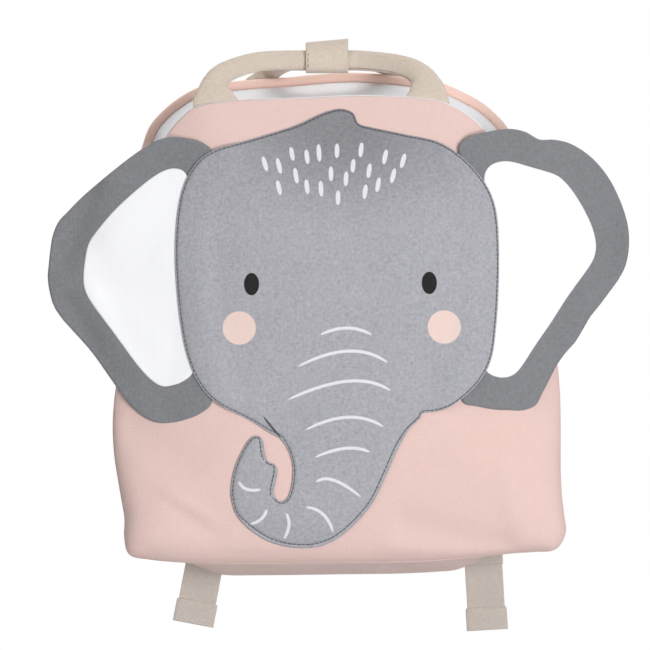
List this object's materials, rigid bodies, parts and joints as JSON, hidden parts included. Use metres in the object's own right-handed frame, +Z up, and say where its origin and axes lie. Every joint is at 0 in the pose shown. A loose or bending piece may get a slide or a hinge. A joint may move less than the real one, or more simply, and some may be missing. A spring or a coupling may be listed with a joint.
{
  "type": "child's backpack with an animal face",
  "caption": "Child's canvas backpack with an appliqued elephant face, ears and trunk, zip top, two grab handles and padded shoulder straps.",
  "frame": {"origin": "where the bag hangs: the underside of the wrap round both grab handles, on the mid-plane of the gusset", "axes": "+Z up, the elephant's face looks towards -Y, +X to the right seen from the front"},
  "size_m": [0.3732, 0.1478, 0.3828],
  "materials": {
    "pink_canvas": "plain-woven cotton canvas, pale pink, matt",
    "piping": "cotton strip over a round cord, salmon pink, matt",
    "white_cotton": "white cotton, matt",
    "zip_coil": "white nylon coil",
    "zip_slider": "painted die-cast zinc",
    "grey_canvas": "heathered grey canvas, matt",
    "ear_canvas": "darker grey canvas, matt",
    "beige_canvas": "beige canvas, rolled and stitched",
    "webbing": "beige herringbone cotton webbing",
    "plastic": "moulded beige plastic, satin"
  },
  "bodies": {
    "root": {"front_panel": "pink_canvas", "gusset": "pink_canvas", "back_panel": "pink_canvas", "shoulder_strap_left": "pink_canvas", "shoulder_strap_right": "pink_canvas", "piping": "piping", "zip_band": "white_cotton", "ear_lining_left": "white_cotton", "ear_lining_right": "white_cotton", "zip_chain": "zip_coil", "zip_slider": "zip_slider", "head": "grey_canvas", "ear_left": "ear_canvas", "ear_right": "ear_canvas", "handle_front": "beige_canvas", "handle_back": "beige_canvas", "handle_wrap": "beige_canvas", "webbing_left": "webbing", "webbing_right": "webbing", "strap_ring_left": "plastic", "strap_ring_right": "plastic"}
  },
  "joints": []
}
